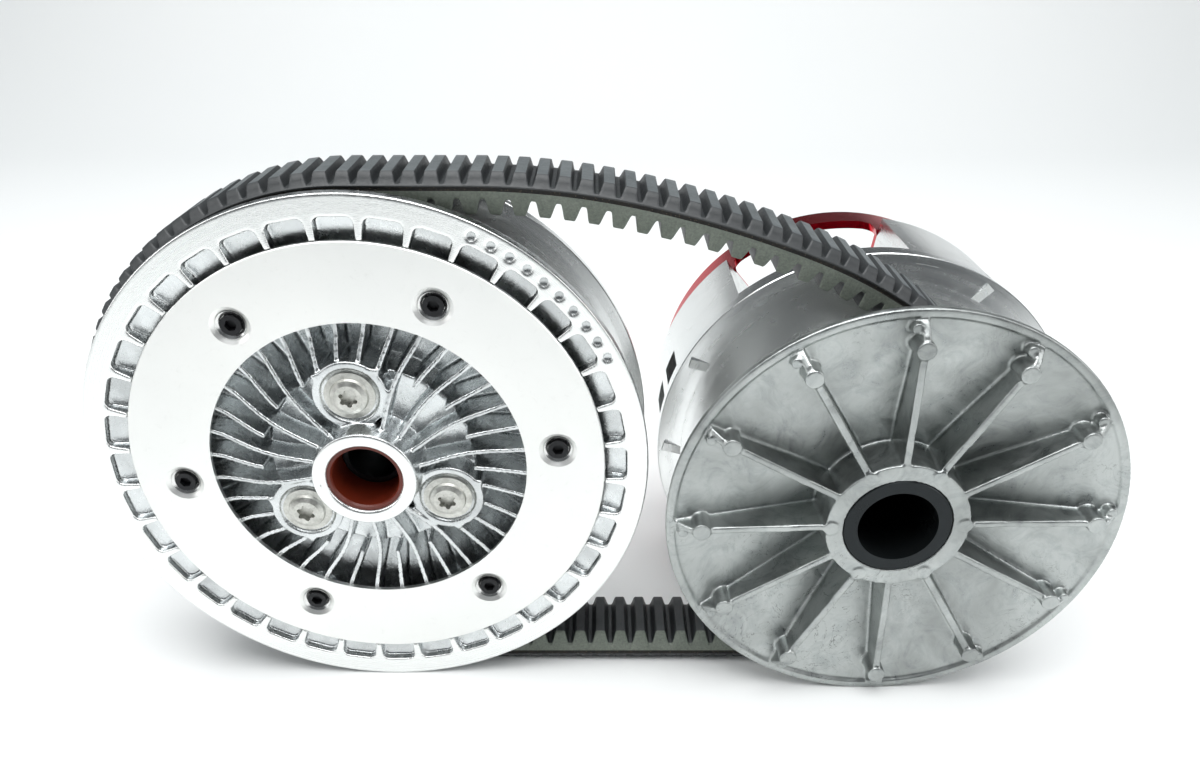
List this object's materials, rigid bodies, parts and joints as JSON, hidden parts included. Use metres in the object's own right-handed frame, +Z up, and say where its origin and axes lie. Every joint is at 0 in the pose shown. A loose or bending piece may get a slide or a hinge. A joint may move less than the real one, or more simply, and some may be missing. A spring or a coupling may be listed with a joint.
{
  "type": "continuously variable transmission pulley set",
  "caption": "Drive and driven variator pulleys of a belt CVT joined by a double-cog V-belt, with sliding sheaves, flyweights, spider, torque cam, springs and shafts.",
  "frame": {"origin": "mouth of the drive shaft's bore, on the drive pulley's axis", "axes": "-Y out of the drive bore, towards the ribbed fronts; +X from the driven pulley to the drive pulley; +Z up; both pulley axes are parallel to Y"},
  "size_m": [0.5073, 0.1762, 0.2782],
  "materials": {
    "cast_aluminium": "fine as-cast satin",
    "turned_aluminium": "turned and polished",
    "plate_aluminium": "brushed satin",
    "red_anodised": "glossy red anodised",
    "black_steel": "black oxide, oiled",
    "bright_steel": "machined",
    "zinc_steel": "zinc flake",
    "spring_steel": "shot peened",
    "bush_lining": "red-brown low-friction lining",
    "nylon": "moulded",
    "belt_rubber": "moulded rubber with cut sides"
  },
  "bodies": {
    "belt_bearing": {"belt_bearing_outer_ring": "bright_steel", "belt_bearing_needles": "bright_steel"},
    "drive_fixed": {"drive_shaft": "black_steel", "drive_fixed_sheave": "cast_aluminium", "belt_bearing_inner_ring": "bright_steel", "drive_spider": "turned_aluminium", "spider_guide_buttons": "nylon", "spider_roller_pins": "bright_steel", "drive_spring": "spring_steel"},
    "drive_moving": {"drive_moving_sheave": "turned_aluminium", "drive_slide_bush": "bush_lining", "flyweight_pins": "bright_steel", "drive_cover": "red_anodised", "cover_screws": "black_steel", "cover_bush": "bush_lining"},
    "driven_fixed": {"driven_shaft": "black_steel", "driven_fixed_sheave": "turned_aluminium", "torque_cam": "bright_steel", "shaft_nut": "zinc_steel", "driven_spring": "spring_steel"},
    "driven_washer": {"spring_washer": "bright_steel"},
    "driven_moving": {"driven_moving_sheave": "cast_aluminium", "driven_front_bush": "bush_lining", "stiffener_plate": "plate_aluminium", "plate_screw_cups": "bright_steel", "plate_screws": "black_steel", "sheave_screws": "zinc_steel", "roller_carrier": "cast_aluminium", "torque_roller_pins": "bright_steel"},
    "belt": {"drive_belt": "belt_rubber"},
    "cam_roller_1": {"spider_roller_1": "bright_steel"},
    "weight_1": {"flyweight_1": "bright_steel"},
    "twist_roller_1": {"torque_roller_1": "nylon"},
    "cam_roller_2": {"spider_roller_2": "bright_steel"},
    "weight_2": {"flyweight_2": "bright_steel"},
    "twist_roller_2": {"torque_roller_2": "nylon"},
    "cam_roller_3": {"spider_roller_3": "bright_steel"},
    "weight_3": {"flyweight_3": "bright_steel"},
    "twist_roller_3": {"torque_roller_3": "nylon"}
  },
  "joints": [
    {"name": "drive_spin", "type": "hinge", "parent": "belt_bearing", "child": "drive_fixed", "pos_m": [0, 0.041, 0], "axis": [0, 1, 0], "continuous": true},
    {"name": "drive_shift", "type": "slide", "parent": "drive_fixed", "child": "drive_moving", "axis": [0, -1, 0], "range_m": [0, 0.024], "deforming": ["drive_spring"]},
    {"name": "driven_spin", "type": "hinge", "parent": "belt_bearing", "child": "driven_fixed", "pos_m": [-0.2565, 0.08, 0.024], "axis": [0, 1, 0], "continuous": true},
    {"name": "driven_shift", "type": "slide", "parent": "driven_fixed", "child": "driven_washer", "axis": [0, -1, 0], "range_m": [0, 0.024], "deforming": ["driven_spring"]},
    {"name": "driven_twist", "type": "hinge", "parent": "driven_washer", "child": "driven_moving", "pos_m": [-0.2565, 0.118, 0.024], "axis": [0, 1, 0], "range_deg": [0, 30]},
    {"name": "belt_shift", "type": "slide", "parent": "belt_bearing", "child": "belt", "axis": [0.9724, -0.2334, 0], "range_m": [0, 0.05142]},
    {"name": "flyweight_1_swing", "type": "hinge", "parent": "drive_moving", "child": "weight_1", "pos_m": [-0.02315, 0.102, 0.08075], "axis": [0.9613, 0, 0.2756], "range_deg": [0, 34.4]},
    {"name": "spider_roller_1_spin", "type": "hinge", "parent": "drive_fixed", "child": "cam_roller_1", "pos_m": [-0.01709, 0.12, 0.0596], "axis": [0.9613, 0, 0.2756], "continuous": true},
    {"name": "torque_roller_1_spin", "type": "hinge", "parent": "driven_moving", "child": "twist_roller_1", "pos_m": [-0.22998, 0.118, 0.04313], "axis": [0.8111, 0, 0.585], "continuous": true},
    {"name": "flyweight_2_swing", "type": "hinge", "parent": "drive_moving", "child": "weight_2", "pos_m": [-0.05835, 0.102, -0.06042], "axis": [-0.7193, 0, 0.6947], "range_deg": [0, 34.4]},
    {"name": "spider_roller_2_spin", "type": "hinge", "parent": "drive_fixed", "child": "cam_roller_2", "pos_m": [-0.04307, 0.12, -0.0446], "axis": [-0.7193, 0, 0.6947], "continuous": true},
    {"name": "torque_roller_2_spin", "type": "hinge", "parent": "driven_moving", "child": "twist_roller_2", "pos_m": [-0.28633, 0.118, 0.0374], "axis": [-0.9121, 0, 0.4099], "continuous": true},
    {"name": "flyweight_3_swing", "type": "hinge", "parent": "drive_moving", "child": "weight_3", "pos_m": [0.0815, 0.102, -0.02032], "axis": [-0.2419, 0, -0.9703], "range_deg": [0, 34.4]},
    {"name": "spider_roller_3_spin", "type": "hinge", "parent": "drive_fixed", "child": "cam_roller_3", "pos_m": [0.06016, 0.12, -0.015], "axis": [-0.2419, 0, -0.9703], "continuous": true},
    {"name": "torque_roller_3_spin", "type": "hinge", "parent": "driven_moving", "child": "twist_roller_3", "pos_m": [-0.2532, 0.118, -0.00853], "axis": [0.1011, 0, -0.9949], "continuous": true}
  ],
  "couplings": [
    {"joint": "driven_spin", "follows": "drive_spin", "ratio": 0.386},
    {"joint": "driven_shift", "follows": "drive_shift", "ratio": 1},
    {"joint": "driven_twist", "follows": "drive_shift", "rad_per_m": 21.8},
    {"joint": "belt_shift", "follows": "drive_shift", "ratio": 2.1418},
    {"joint": "flyweight_1_swing", "follows": "drive_shift", "rad_per_m": 25},
    {"joint": "flyweight_2_swing", "follows": "drive_shift", "rad_per_m": 25},
    {"joint": "flyweight_3_swing", "follows": "drive_shift", "rad_per_m": 25}
  ]
}
